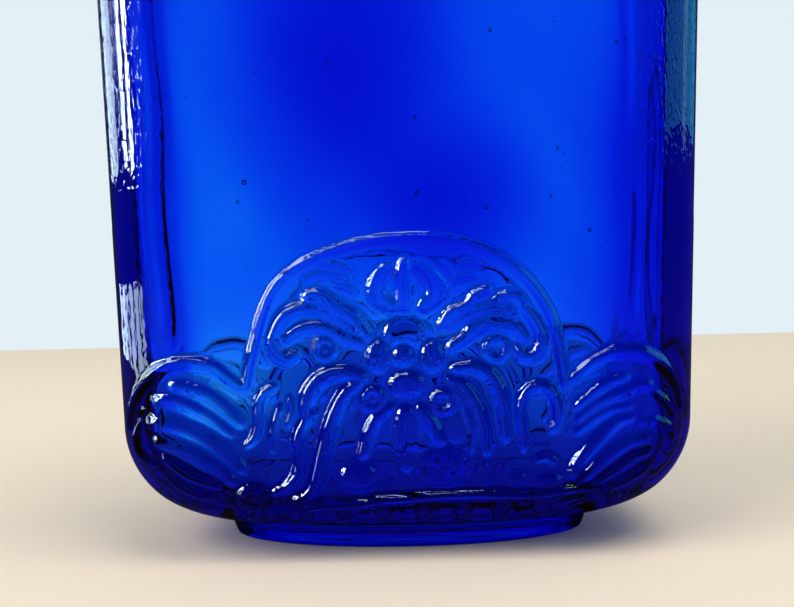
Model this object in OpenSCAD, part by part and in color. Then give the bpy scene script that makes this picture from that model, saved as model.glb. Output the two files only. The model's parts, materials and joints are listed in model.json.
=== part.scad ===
// Flat-sided flask of mould-blown cobalt glass, standing on a small oval foot.
// Scroll and leaf relief covers the lower third of the front and of the back.
// The neck has an applied glass collar and is closed by a glass stopper in a shell cork.
// The origin is the middle of the foot, on the table. +Z is up and the front faces -Y.

/* [Body] */
// Width across the shoulders, the widest place
body_w = 98; // [98:1:116]
// Width just above the rounded bottom corners
heel_w = 94; // [86:1:98]
// Depth between the flat front and back panels
body_d = 38; // [36:1:48]
// Round of the four upright edges
edge_r = 11; // [8:0.5:14]
// Height at which the shoulders start to turn in
shoulder_z = 112; // [90:1:130]
// Height of the shoulder curve
shoulder_h = 25; // [18:1:32]

/* [Foot] */
// Length of the oval foot
foot_w = 62; // [50:1:70]
// Depth of the oval foot
foot_d = 26; // [24:1:32]
// Height of the foot up to the body
foot_h = 4; // [3:0.5:7]
// Round of the foot's bottom edge
foot_edge = 1.5; // [0.5:0.1:2]
// Height of the rounded bottom corners, seen from the front
heel_h = 17; // [13:0.5:22]
// Height over which the flat panels curve in to the foot
toe_h = 6; // [4:0.5:9]
// Depth of the push-up under the foot
push_up_h = 1.6; // [0.8:0.2:2.4]
// Width of the ring that the bottle stands on
ring_w = 5; // [3:0.5:7]

/* [Glass] */
// Glass behind the front and back panels
panel_wall = 3.5; // [2.5:0.25:5]
// Glass at the two narrow sides, which is thicker
side_wall = 7; // [4:0.5:9]
// Glass under the hollow, measured from the table
base_t = 9; // [7:0.5:12]
// Glass over the hollow at the shoulders
shoulder_wall = 4; // [3:0.5:6]

/* [Neck] */
// Outside diameter of the neck
neck_d = 25; // [23:0.5:27]
// Bore of the neck
bore_d = 16; // [14:0.5:17]
// Length of the neck above the shoulders
neck_h = 28; // [25:1:40]
// Round between neck and shoulders
neck_root = 2.5; // [1:0.25:4]
// Widening of the bore at the mouth
mouth_flare = 0.8; // [0.4:0.1:1.2]
// How far the upper roll of the applied collar stands out from the neck
roll_r = 4; // [3:0.25:4.5]
// How far the lower ring of the collar stands out
ring_r = 2.4; // [1.5:0.1:2.8]

/* [Stopper] */
// Length of the shell cork inside the neck
sleeve_l = 22; // [16:1:24]
// Wall of the shell cork
sleeve_wall = 2.5; // [2:0.25:3]
// How far the cork's rim reaches beyond the bore
rim_w = 2.5; // [1.5:0.25:3]
// Thickness of the cork's rim
rim_t = 2; // [1.5:0.25:3]
// Length of the stopper's peg inside the cork
peg_l = 20; // [14:1:24]
// Diameter of the stopper's head
head_d = 27; // [22:0.5:30]
// Thickness of the head at its round edge
head_t = 10; // [8:0.5:12]
// Rise of the head's domed top
dome_h = 2; // [1:0.25:3]
// Diameter of the waist under the head
waist_d = 13; // [11:0.5:16]
// Height of the waist
waist_h = 3; // [2:0.25:5]
// Clearance all round between cork and glass
fit = 0.05; // [0.02:0.01:0.08]
// Gap under a piece that rests on another
seat_gap = 0.3; // [0.2:0.05:0.5]

/* [Relief] */
// How far the ridges stand out of the panels
relief_h = 1.3; // [0.6:0.1:1.4]
// Width of a full ridge
ridge_w = 2.4; // [1.6:0.1:2.8]
// Height of the relief's lowest line above the top of the foot
relief_rise = 1.5; // [1:0.25:3]

/* [Hidden] */
$fn = 64;

cobalt = "#0a28c8";
cork = "#b98a5a";

heel_z = foot_h + heel_h;
neck_z = shoulder_z + shoulder_h;
top_z = neck_z + neck_h;
neck_r = neck_d / 2;
bore_r = bore_d / 2;
root_r = neck_r + neck_root;
// The two rings of the collar run into each other by this much
ring_overlap = 0.8;
cork_z = top_z + seat_gap;
flange_z = cork_z + rim_t + seat_gap;
peg_r = bore_r - fit - sleeve_wall - fit;
flange_t = 1.5;
// Steps in a quarter of a section, and in each quarter curve of the outline
section_steps = 7;
curve_steps = 6;
// A full oval keeps this much flat at its ends, so that no two points coincide
min_flat = 0.4;
// A form that starts inside another one stays this far from its skin
inside = 0.05;

// The relief was drawn for a body this wide and grows with it
drawn_w = 94;
relief_k = heel_w / drawn_w;
relief_z = foot_h + relief_rise;
// How far the ridges reach into the glass that carries them
sink = 0.6;
steps_per_span = 2;
thin_w = ridge_w * 0.7;

// Relief of one half, as points across and above relief_z. The other half mirrors it.
lobe_rim = [[25.4, 22.3], [27.5, 24.2], [30.3, 26.4], [34.2, 27.2], [37.7, 26.3], [41.1, 23.7], [44, 19.5]];
lobe_side = [[42.8, 16.8], [43.3, 13.5], [41.5, 11.5], [38.9, 10.5]];
leaves = [
    [[36.2, 23.3], [32.4, 21.9], [28.6, 19.7], [26, 16.8]],
    [[39, 20.8], [34.8, 19.7], [30.6, 17.4], [27.3, 14.3]],
    [[40.2, 17], [36, 16.7], [31.4, 14.6], [25.9, 9.7]],
    [[38.8, 14.2], [34.6, 12.5], [30.8, 10.5], [27.2, 7.4]],
    [[37.8, 10.6], [34.6, 8.6], [31.6, 7.2], [28.2, 5.5]]
];
plumes = [
    [[5.6, 29.9], [8.8, 33.3], [12, 35.9], [15.4, 36.7]],
    [[6.5, 29.5], [12, 33.5], [16.5, 34.7], [19.4, 32.3], [20.5, 29.5], [19.6, 27.4], [18, 26.9]],
    [[6.5, 29.1], [12, 31.4], [16, 31.5], [18.6, 29.8]]
];
petal = [[2.3, 34.5], [4.5, 37.3], [3.6, 39.9], [1.5, 41.5]];
stems = [
    [[6.5, 24], [10.2, 24.7], [13.5, 23.5], [15.2, 21], [15.6, 18]],
    [[7.3, 23.2], [10, 21], [11.8, 16.5], [13.2, 12], [14.7, 6.9], [17.4, 4.5]],
    [[2.4, 18.7], [4.6, 16.7], [6.2, 13.5], [7, 10.5]]
];
legs = [
    [[14.8, 18.3], [17, 14.5], [17.2, 10.5], [19, 6.9], [21.4, 5.9]],
    [[20.6, 22.7], [22.8, 21.1], [23.4, 16.5], [25.3, 13.4]],
    [[19.7, 19.3], [21, 16], [21.2, 12.5]]
];
// Ridges on the middle line
mid_petal = [[0, 34.4], [0, 41.4]];
mid_tongue = [[0, 18.5], [0, 9.5]];
// Round arch over the whole relief
arch_r = 25.8 * relief_k;
arch_z = 19.7;
arch_bar = relief_h * 0.8;
// Beads: place, then radius. Eyes, which are small rings: place.
beads = [[4.2, 27, 2.1], [24, 5.6, 2.2], [6.6, 8.6, 2.9]];
mid_beads = [[0, 30.3, 3.1], [0, 27, 1.8], [0, 22.6, 2.5]];
eyes = [[13.3, 28.2], [5.5, 20]];
eye_r = 1.4;
eye_bar = 0.45;
// Wavy ridge over the foot, with a row of dots under it
band_half = 30;
band_z = 4.1;
band_wave = 0.3;
band_pitch = 6;
dot_z = 1.6;
dot_r = 1.1;

// Rises from 0 to 1 as a quarter of a circle does
function quarter(u) = sqrt(1 - pow(1 - max(0, min(1, u)), 2));
function mix(a, b, t) = a + (b - a) * t;

// Outside of the body at height z: half width, half depth and the two radii of its corners
function half_w(z) =
    z < heel_z ? mix(foot_w / 2, heel_w / 2, quarter((z - foot_h) / heel_h))
    : z < shoulder_z ? mix(heel_w, body_w, (z - heel_z) / (shoulder_z - heel_z)) / 2
    : mix(root_r, body_w / 2, quarter((neck_z - z) / shoulder_h));
function half_d(z) =
    z < shoulder_z ? mix(foot_d / 2, body_d / 2, quarter((z - foot_h) / toe_h))
    : mix(root_r, body_d / 2, quarter((neck_z - z) / shoulder_h));
// 1 on the straight part of the body, 0 at the foot and at the neck
function squareness(z) =
    z < shoulder_z ? quarter((z - foot_h) / heel_h) : quarter((neck_z - z) / shoulder_h);
function corner_x(z) = mix(half_w(z) - min_flat, edge_r, squareness(z));
function corner_y(z) = mix(half_d(z) - min_flat, edge_r, squareness(z));

// One closed section: a rectangle with elliptical corners
function section(a, b, cx, cy, z) = [
    for (q = [0 : 3], i = [0 : section_steps])
        let (t = 90 * q + 90 * i / section_steps,
             sx = (q == 0 || q == 3) ? 1 : -1,
             sy = q < 2 ? 1 : -1)
        [sx * (a - cx) + cx * cos(t), sy * (b - cy) + cy * sin(t), z]
];
function body_section(z) = section(half_w(z), half_d(z), corner_x(z), corner_y(z), z);

// Heights at which the outline is drawn: closer together where it curves
heel_levels = [for (i = [0 : curve_steps]) foot_h + heel_h * (1 - cos(90 * i / curve_steps))];
shoulder_levels = [for (i = [0 : curve_steps]) shoulder_z + shoulder_h * sin(90 * i / curve_steps)];

// Skins a list of equal sections and closes both ends
module loft(sections) {
    n = len(sections[0]);
    last = len(sections) - 1;
    sides = [
        for (k = [0 : last - 1], i = [0 : n - 1])
            let (j = (i + 1) % n)
            [k * n + i, (k + 1) * n + i, (k + 1) * n + j, k * n + j]
    ];
    bottom = [for (i = [0 : n - 1]) i];
    top = [for (i = [n - 1 : -1 : 0]) last * n + i];
    polyhedron([for (s = sections, p = s) p], concat([bottom], sides, [top]));
}

// Foot, body and shoulders as one solid lump
module blown_form() {
    foot_rounds = [
        for (t = [0, 45, 90])
            let (inset = foot_edge * (1 - sin(t)), a = foot_w / 2 - inset, b = foot_d / 2 - inset)
            section(a, b, a - min_flat, b - min_flat, foot_edge * (1 - cos(t)))
    ];
    loft(concat(
        foot_rounds,
        [for (z = heel_levels) body_section(z)],
        [for (z = shoulder_levels) body_section(z)]
    ));
}

// The hollow, from the thick base up to the neck
module hollow() {
    floor_a = foot_w / 2 - side_wall / 2;
    floor_b = foot_d / 2 - panel_wall / 2;
    wall_a = heel_w / 2 - side_wall;
    top_a = body_w / 2 - side_wall;
    wall_b = body_d / 2 - panel_wall;
    roof_r = bore_r + neck_root / 2;
    inner_r = edge_r - panel_wall;
    low_h = heel_z - base_t;
    roof_h = shoulder_h - shoulder_wall;
    low = [
        for (i = [0 : curve_steps])
            let (s = sin(90 * i / curve_steps), a = mix(floor_a, wall_a, s), b = mix(floor_b, wall_b, s))
            section(a, b, mix(floor_a - min_flat, inner_r, s), mix(floor_b - min_flat, inner_r, s),
                base_t + low_h * (1 - sqrt(1 - s * s)))
    ];
    high = [
        for (i = [0 : curve_steps])
            let (s = cos(90 * i / curve_steps), a = mix(roof_r, top_a, s), b = mix(roof_r, wall_b, s))
            section(a, b, mix(roof_r - min_flat, inner_r, s), mix(roof_r - min_flat, inner_r, s),
                shoulder_z + roof_h * sqrt(1 - s * s))
    ];
    loft(concat(low, high));
}

// Shallow oval recess in the underside, which leaves a ring to stand on
module push_up() {
    a = foot_w / 2 - ring_w;
    b = foot_d / 2 - ring_w;
    loft([
        section(a, b, a - min_flat, b - min_flat, -1),
        section(a, b, a - min_flat, b - min_flat, 0),
        section(a * 0.7, b * 0.7, a * 0.7 - min_flat, b * 0.7 - min_flat, push_up_h)
    ]);
}

// Neck of full glass with the small round at its root, starting just inside the shoulders
module neck_form() {
    rotate_extrude() difference() {
        translate([0, neck_z - neck_root]) square([root_r - inside, neck_h + neck_root]);
        translate([root_r, neck_z + neck_root]) circle(r = neck_root);
        translate([neck_r, neck_z + neck_root]) square([neck_root, neck_h]);
    }
}

// Place on the glass of the front, s along its girth from the middle and z above the table
function on_glass(s, z) =
    let (cx = corner_x(z), cy = corner_y(z), flat = half_w(z) - cx, over = abs(s) - flat,
         turn = min(85, over / ((cx + cy) / 2) * 180 / PI))
    over <= 0 ? [s, -half_d(z), z]
    : [sign(s) * (flat + cx * sin(turn)), cy - half_d(z) - cy * cos(turn), z];
function unit(v) = v / norm(v);
probe = 0.05;
function outward(s, z) =
    unit(cross(on_glass(s + probe, z) - on_glass(s - probe, z),
        on_glass(s, z + probe) - on_glass(s, z - probe)));

// Smooth curve through a short list of points
function through(p, i, t) =
    let (last = len(p) - 1, a = p[max(i - 1, 0)], b = p[i], c = p[i + 1], d = p[min(i + 2, last)])
    0.5 * (2 * b + (c - a) * t + (2 * a - 5 * b + 4 * c - d) * t * t
        + (3 * b - a - 3 * c + d) * t * t * t);
function curve(p) = [
    for (k = [0 : (len(p) - 1) * steps_per_span])
        let (i = min(floor(k / steps_per_span), len(p) - 2))
        through(p, i, k / steps_per_span - i)
];

// A rounded ridge that follows a curve over the glass and thins out at both ends
module ridge(points, w = ridge_w, h = relief_h) {
    path = [for (p = curve(points)) [p[0] * relief_k, relief_z + p[1] * relief_k]];
    last = len(path) - 1;
    loft([
        for (i = [0 : last])
            let (p = path[i], at = on_glass(p[0], p[1]), n = outward(p[0], p[1]),
                 ahead = path[min(i + 1, last)], back = path[max(i - 1, 0)],
                 along = unit(on_glass(ahead[0], ahead[1]) - on_glass(back[0], back[1])),
                 side = cross(along, n), k = 0.35 + 0.65 * sin(180 * i / last))
            [for (q = [[-0.5, 0], [-0.3, 0.7], [0, 1], [0.3, 0.7], [0.5, 0]])
                at + side * (q[0] * w * k) + n * (q[1] == 0 ? -sink : q[1] * h * k)]
    ]);
}

// A bead standing as a cap of a sphere
module bead(p, r, h = relief_h) {
    ball_r = (r * r + h * h) / (2 * h);
    at = on_glass(p[0] * relief_k, relief_z + p[1] * relief_k);
    n = outward(p[0] * relief_k, relief_z + p[1] * relief_k);
    translate(at + n * (h - ball_r)) sphere(r = ball_r);
}

// A small ring
module eye(p) {
    translate(on_glass(p[0] * relief_k, relief_z + p[1] * relief_k)) rotate([90, 0, 0])
        rotate_extrude() translate([eye_r, 0]) circle(r = eye_bar, $fn = 24);
}

module half_relief() {
    ridge(lobe_rim);
    ridge(lobe_side, thin_w);
    for (p = leaves) ridge(p);
    for (p = plumes) ridge(p);
    ridge(petal);
    for (p = stems) ridge(p);
    for (p = legs) ridge(p, thin_w);
    for (b = beads) bead(b, b[2]);
    for (e = eyes) eye(e);
}

module relief() {
    band = [
        for (s = [-band_half : band_pitch / 2 : band_half])
            [s, band_z + band_wave * cos(s / band_pitch * 360)]
    ];
    half_relief();
    mirror([1, 0, 0]) half_relief();
    ridge(mid_petal);
    ridge(mid_tongue, ridge_w * 1.4);
    for (b = mid_beads) bead(b, b[2]);
    translate([0, -body_d / 2, relief_z + arch_z * relief_k]) rotate([90, 0, 0])
        rotate_extrude(angle = 180) translate([arch_r, 0]) circle(r = arch_bar, $fn = 32);
    ridge(band, thin_w);
    for (s = [-band_half + band_pitch : band_pitch : band_half - band_pitch])
        bead([s, dot_z], dot_r, dot_r / 2);
}

module bottle() {
    bore_z = neck_z - shoulder_wall - neck_root;
    color(cobalt) difference() {
        union() {
            blown_form();
            neck_form();
            relief();
            rotate([0, 0, 180]) relief();
        }
        hollow();
        translate([0, 0, bore_z]) cylinder(r = bore_r, h = top_z - bore_z + 1);
        translate([0, 0, top_z - mouth_flare])
            cylinder(r1 = bore_r, r2 = bore_r + 2 * mouth_flare, h = 2 * mouth_flare);
        push_up();
    }
}

// Glass collar laid round the mouth: a thick roll over a thinner ring
module lip_collar() {
    color(cobalt) rotate_extrude() intersection() {
        union() {
            translate([neck_r, top_z - roll_r]) circle(r = roll_r);
            translate([neck_r, top_z - 2 * roll_r + ring_overlap - ring_r]) circle(r = ring_r);
        }
        translate([neck_r, top_z - 3 * roll_r - 2 * ring_r]) square([2 * roll_r, 4 * roll_r + 2 * ring_r]);
    }
}

// Cork tube that fills the bore, with a rim over the mouth and its lower edge chamfered
module cork_sleeve() {
    low_z = cork_z - sleeve_l;
    hole_r = peg_r + fit;
    out_r = bore_r - fit;
    chamfer = sleeve_wall / 3;
    color(cork) rotate_extrude() polygon([
        [hole_r, low_z],
        [out_r - chamfer, low_z],
        [out_r, low_z + chamfer],
        [out_r, cork_z],
        [bore_r + rim_w, cork_z],
        [bore_r + rim_w, cork_z + rim_t],
        [hole_r, cork_z + rim_t]
    ]);
}

// Peg, flange, waist and a domed head with a round edge, all turned from one piece of glass
module glass_stopper() {
    edge = head_t / 2;
    head_z = flange_z + flange_t + waist_h;
    dome_r = (pow(head_d / 2 - edge, 2) + dome_h * dome_h) / (2 * dome_h);
    color(cobalt) rotate_extrude() {
        translate([0, flange_z - peg_l]) square([peg_r, peg_l + flange_t]);
        translate([0, flange_z]) square([bore_r + rim_w, flange_t]);
        translate([0, flange_z + flange_t]) square([waist_d / 2, waist_h + edge]);
        translate([0, head_z]) square([head_d / 2 - edge, head_t]);
        intersection() {
            translate([head_d / 2 - edge, head_z + edge]) circle(r = edge);
            translate([0, head_z]) square([head_d, head_t]);
        }
        intersection() {
            translate([0, head_z + head_t + dome_h - dome_r]) circle(r = dome_r);
            translate([0, head_z + head_t]) square([head_d, dome_h + 1]);
        }
    }
}

bottle();
lip_collar();
cork_sleeve();
glass_stopper();
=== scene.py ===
# %% [markdown]
# # A cobalt glass poison flask
# The bottle is one piece of mould-blown glass: an oval foot, a flat body with a carved relief,
# shoulders, a neck and an applied collar. A shell cork and a turned glass stopper close it.
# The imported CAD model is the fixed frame. Each piece made here goes where its CAD node says.

import json
import math

import bpy
import numpy as np
from mathutils import Matrix, Vector

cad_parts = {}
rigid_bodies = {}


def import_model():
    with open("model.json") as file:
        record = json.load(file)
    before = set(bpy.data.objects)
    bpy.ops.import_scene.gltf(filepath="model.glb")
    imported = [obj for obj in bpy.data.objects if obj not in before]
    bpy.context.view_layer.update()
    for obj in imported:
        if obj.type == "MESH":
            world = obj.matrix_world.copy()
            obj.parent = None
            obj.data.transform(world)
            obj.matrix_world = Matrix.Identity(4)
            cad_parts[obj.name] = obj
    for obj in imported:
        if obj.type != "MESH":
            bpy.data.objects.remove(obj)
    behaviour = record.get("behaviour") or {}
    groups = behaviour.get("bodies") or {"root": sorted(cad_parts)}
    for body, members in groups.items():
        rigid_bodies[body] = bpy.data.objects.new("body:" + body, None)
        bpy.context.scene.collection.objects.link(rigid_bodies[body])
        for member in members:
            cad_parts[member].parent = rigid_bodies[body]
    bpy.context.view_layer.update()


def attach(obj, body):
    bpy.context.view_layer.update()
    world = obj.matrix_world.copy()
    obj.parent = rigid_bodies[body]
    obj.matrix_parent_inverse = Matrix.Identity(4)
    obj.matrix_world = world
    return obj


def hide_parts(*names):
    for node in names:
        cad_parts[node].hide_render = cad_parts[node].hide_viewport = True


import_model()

MM = 0.001  # Blender works in metres, and the sizes below are in millimetres


# %% [markdown]
# ## Camera
# The photograph was taken by hand from very near, so its perspective is strong. The lens, the
# distance and the tilt come from fitting the bottle's outline and the oval of its foot.

# %% Camera
IMAGE_W = 794     # the photograph is this many pixels wide
FOCAL_PX = 957.0  # the lens, as pixels of the photograph
NEAR_CLIP = 0.01
CAMERA_AT = Vector((-0.24, -167.0, 50.5)) * MM
CAMERA_YAW, CAMERA_PITCH, CAMERA_ROLL = (math.radians(a) for a in (-0.35, 3.78, 1.36))


def add_camera():
    """Looks along +Y, turned by the yaw, tipped down by the pitch, then rolled."""
    bpy.ops.object.camera_add(location=CAMERA_AT)
    camera = bpy.context.object
    camera.name = "photo_camera"
    ahead = Vector((
        math.sin(CAMERA_YAW) * math.cos(CAMERA_PITCH),
        math.cos(CAMERA_YAW) * math.cos(CAMERA_PITCH),
        -math.sin(CAMERA_PITCH),
    ))
    camera.rotation_mode = "QUATERNION"
    level = ahead.to_track_quat("-Z", "Y")
    camera.rotation_quaternion = level @ Matrix.Rotation(-CAMERA_ROLL, 3, "Z").to_quaternion()
    camera.data.lens = FOCAL_PX / IMAGE_W * camera.data.sensor_width
    camera.data.clip_start = NEAR_CLIP
    bpy.context.scene.camera = camera
    return camera


photo_camera = add_camera()
print("lens:", round(photo_camera.data.lens, 1), "mm")


# %% [markdown]
# ## Sizes of the glass
# These repeat the frame's own sizes. Everything is measured in millimetres from the middle of
# the foot, with the front panel facing -Y.

# %% Sizes
BODY_W, HEEL_W, BODY_D, EDGE_R = 98.0, 94.0, 38.0, 11.0  # EDGE_R rounds the upright edges
FOOT_W, FOOT_D, FOOT_H, FOOT_EDGE = 62.0, 26.0, 4.0, 1.5
HEEL_H, TOE_H = 17.0, 6.0   # how high the bottom rounds up at the sides, and in front
SHOULDER_Z, SHOULDER_H = 112.0, 25.0
PUSH_UP, RING_W = 1.6, 5.0  # the hollow under the foot, and the ring round it that stands
PANEL_WALL, SIDE_WALL, BASE_T, SHOULDER_WALL = 3.5, 7.0, 9.0, 4.0
NECK_R, BORE_R, NECK_H, NECK_ROOT = 12.5, 8.0, 28.0, 2.5   # NECK_ROOT rounds the neck's foot
MOUTH_FLARE, ROLL_R, RING_R, RING_OVERLAP = 0.8, 4.0, 2.4, 0.8  # the applied collar
RELIEF_H = 1.3  # the relief stands out no further
MIN_FLAT = 0.4  # the straight part that an oval keeps

HEEL_Z = FOOT_H + HEEL_H
NECK_Z = SHOULDER_Z + SHOULDER_H
TOP_Z = NECK_Z + NECK_H
ROOT_R = NECK_R + NECK_ROOT


# %% [markdown]
# ## The outline
# The body has a rectangular section with round corners. Lower down it turns into the oval of the
# foot, and at the top into the circle of the neck. Half width, half depth and corner radii are
# functions of the height, so the relief can be laid on them later.

# %% Outline functions
def quarter(u):
    """Rises from 0 to 1 as a quarter of a circle does."""
    return math.sqrt(1 - (1 - max(0.0, min(1.0, u))) ** 2)


def mix(a, b, t):
    return a + (b - a) * t


def half_w(z):
    if z < HEEL_Z:
        return mix(FOOT_W / 2, HEEL_W / 2, quarter((z - FOOT_H) / HEEL_H))
    if z < SHOULDER_Z:
        return mix(HEEL_W, BODY_W, (z - HEEL_Z) / (SHOULDER_Z - HEEL_Z)) / 2
    return mix(ROOT_R, BODY_W / 2, quarter((NECK_Z - z) / SHOULDER_H))


def half_d(z):
    if z < SHOULDER_Z:
        return mix(FOOT_D / 2, BODY_D / 2, quarter((z - FOOT_H) / TOE_H))
    return mix(ROOT_R, BODY_D / 2, quarter((NECK_Z - z) / SHOULDER_H))


def squareness(z):
    """1 on the straight part of the body, 0 at the foot and at the neck."""
    if z < SHOULDER_Z:
        return quarter((z - FOOT_H) / HEEL_H)
    return quarter((NECK_Z - z) / SHOULDER_H)


def outer_section(z):
    """Half width, half depth, and the corner's radii across and in depth."""
    a, b, s = half_w(z), half_d(z), squareness(z)
    return a, b, mix(a - MIN_FLAT, EDGE_R, s), mix(b - MIN_FLAT, EDGE_R, s)


print("half width at the heel and the shoulder:", half_w(HEEL_Z), half_w(SHOULDER_Z))


# %% [markdown]
# ## Rings of points
# The glass is skinned over rings. Each ring starts at the middle of the front and runs round
# the section, with its points close together on the two faces that carry relief, and wide apart
# on the narrow sides.

# %% Ring helper
FINE = 560     # points in a ring where there is relief
COARSE = 112   # points in a ring elsewhere on the outside
HOLLOW = 2 * COARSE  # points in a ring of the hollow
FACE_SHARE = 0.43    # the part of the girth that a face and its two corners take
SIDE_POINTS = 12     # fine points on each narrow side
ARC_STEPS = 60       # points that draw a corner's round


def girth_shares():
    """Where the fine points lie, as shares of the girth from the middle of the front."""
    face = (FINE - 2 * SIDE_POINTS) // 2
    half_face = np.linspace(0, FACE_SHARE / 2, face // 2, endpoint=False)
    side = np.linspace(FACE_SHARE / 2, 0.5 - FACE_SHARE / 2, SIDE_POINTS, endpoint=False)
    back = np.linspace(0.5 - FACE_SHARE / 2, 0.5, face // 2, endpoint=False)
    half = np.concatenate([half_face, side, back])
    return np.concatenate([half, 0.5 + half])


SHARES = girth_shares()
COARSE_SHARES = SHARES[::FINE // COARSE]

CORNER_AT, CORNER_REACH = 0.175, 0.03  # where a corner lies and how far it reaches, as shares
CORNER_CROWD = 4     # how many more points lie there
FINE_SHARES = 4001   # steps that the crowding is summed in


def corner_shares(count):
    """Shares that crowd at the four corners of the hollow, where its folds are."""
    u = np.linspace(0, 1, FINE_SHARES)
    nearest = 0.25 - np.abs(u % 0.5 - 0.25)
    crowd = CORNER_CROWD * np.exp(-((nearest - CORNER_AT) / CORNER_REACH) ** 2)
    run = np.cumsum(1 + crowd)
    return np.interp(np.arange(count) / count, (run - run[0]) / (run[-1] - run[0]), u)


HALVED = np.interp(np.arange(HOLLOW) / 2, np.arange(COARSE + 1), np.append(COARSE_SHARES, 1))
CROWDED = corner_shares(HOLLOW)


def ring(section, z, shares):
    """Points of a section at the given shares of its girth, and the girth itself."""
    a, b, cx, cy = section
    t = np.linspace(0, math.pi / 2, ARC_STEPS)
    corner = np.stack([a - cx + cx * np.sin(t), -(b - cy) - cy * np.cos(t)], 1)
    half = np.concatenate([[[0, -b]], corner, (corner * [1, -1])[::-1], [[0, b]]])
    outline = np.concatenate([half, (half * [-1, 1])[::-1][1:]])
    run = np.concatenate([[0], np.cumsum(np.linalg.norm(np.diff(outline, axis=0), axis=1))])
    at = shares * run[-1]
    x = np.interp(at, run, outline[:, 0])
    y = np.interp(at, run, outline[:, 1])
    return np.stack([x, y, np.full(len(at), z)], 1), run[-1]


middle_z = BODY_W / 2
print("fine points:", len(SHARES), "girth of the body:",
      round(ring(outer_section(middle_z), middle_z, SHARES)[1], 1))


# %% [markdown]
# ## The carved relief
# The mould's maker cut an arch, two lobes with fans of leaves, plumes, stems, beads and small
# rings into the mould. The glass took them as soft, rounded ropes that crease where they meet.
# Each one is drawn here as a curve over the flat of the glass: across, and up from the table, in
# millimetres. All the drawings are laid on one height map, and the map then pushes the skin of
# the glass out. Joined solids would leave hard creases at the foot of each rope. A map can be
# softened as a whole, as the fire that polishes the glass does.

# %% Height map helpers
MAP_STEP = 0.2
MAP_HALF = 58.0
MAP_TOP = 56.0
map_s = np.arange(-MAP_HALF, MAP_HALF + MAP_STEP, MAP_STEP)
map_z = np.arange(0, MAP_TOP + MAP_STEP, MAP_STEP)
GRID_S, GRID_Z = np.meshgrid(map_s, map_z)
STEPS_PER_SPAN = 5
ROPE_POWER, BEAD_POWER = 0.52, 0.55   # 0.5 gives a half round, 1 a softer hump
GROOVE_FROM, GROOVE_WIDE = 0.95, 0.3  # the groove round a bead, as parts of its radius
MELT = 0.09  # how far the fire rounds an edge, in mm


def smooth_curve(points):
    """A curve through a few points, with a soft turn at each one."""
    p = np.array(points, float)
    path = []
    for i in range(len(p) - 1):
        a, b, c, d = p[max(i - 1, 0)], p[i], p[i + 1], p[min(i + 2, len(p) - 1)]
        for t in np.linspace(0, 1, STEPS_PER_SPAN, endpoint=False):
            path.append(0.5 * (2 * b + (c - a) * t + (2 * a - 5 * b + 4 * c - d) * t * t
                               + (3 * b - a - 3 * c + d) * t ** 3))
    path.append(p[-1])
    return np.array(path)


def soft_max(a, b, power=6):
    """The larger of two heights, rounded where they meet."""
    return (a ** power + b ** power) ** (1 / power)


def raise_rope(height_map, width, height, points, thin=0.5):
    """A rounded ridge along a curve, which starts and ends thinner."""
    path = smooth_curve(points)
    low, high = path.min(0) - width, path.max(0) + width
    box = (GRID_S > low[0]) & (GRID_S < high[0]) & (GRID_Z > low[1]) & (GRID_Z < high[1])
    s, z = GRID_S[box], GRID_Z[box]
    best = np.zeros(len(s))
    run = np.linspace(0, 1, len(path))
    size = thin + (1 - thin) * np.sin(np.pi * run) ** 0.5
    for i in range(len(path) - 1):
        a, ab = path[i], path[i + 1] - path[i]
        t = np.clip(((s - a[0]) * ab[0] + (z - a[1]) * ab[1]) / max(ab @ ab, 1e-9), 0, 1)
        k = size[i] + (size[i + 1] - size[i]) * t
        u = np.hypot(s - a[0] - ab[0] * t, z - a[1] - ab[1] * t) / (width / 2 * k)
        best = np.maximum(best, height * k ** 0.5 * np.clip(1 - u * u, 0, 1) ** ROPE_POWER)
    height_map[box] = soft_max(height_map[box], best)


def clear_round(height_map, u):
    """Lowers the map inside u = 1 and in a narrow groove outside it, so that a bead stands free."""
    height_map *= np.clip((u - GROOVE_FROM) / GROOVE_WIDE, 0, 1)


def raise_bead(height_map, s, z, reach_s, reach_z, height, free=True):
    """A bead: an oval cap that reaches as far across and up as asked."""
    u = np.hypot((GRID_S - s) / reach_s, (GRID_Z - z) / reach_z)
    if free:
        clear_round(height_map, u)
    height_map[:] = soft_max(height_map, height * np.clip(1 - u * u, 0, 1) ** BEAD_POWER)


def raise_ring(height_map, s, z, radius, bar, height):
    """A small ring."""
    distance = np.hypot(GRID_S - s, GRID_Z - z)
    clear_round(height_map, distance / (radius + bar))
    u = (distance - radius) / bar
    height_map[:] = soft_max(height_map, height * np.clip(1 - u * u, 0, 1) ** ROPE_POWER)


def soften(height_map, radius):
    """Melts a map's edges."""
    reach = int(math.ceil(3 * radius / MAP_STEP))  # past three radii nothing is left
    kernel = np.exp(-0.5 * (np.arange(-reach, reach + 1) * MAP_STEP / radius) ** 2)
    kernel /= kernel.sum()
    for axis in (0, 1):
        height_map = np.apply_along_axis(np.convolve, axis, height_map, kernel, mode="same")
    return height_map


print("height map:", GRID_S.shape)

# %% [markdown]
# ### The drawing
# The two halves answer each other but were cut by hand, so each has its own curves. An entry is
# a rope's width, its height, and the points it passes through.

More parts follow.
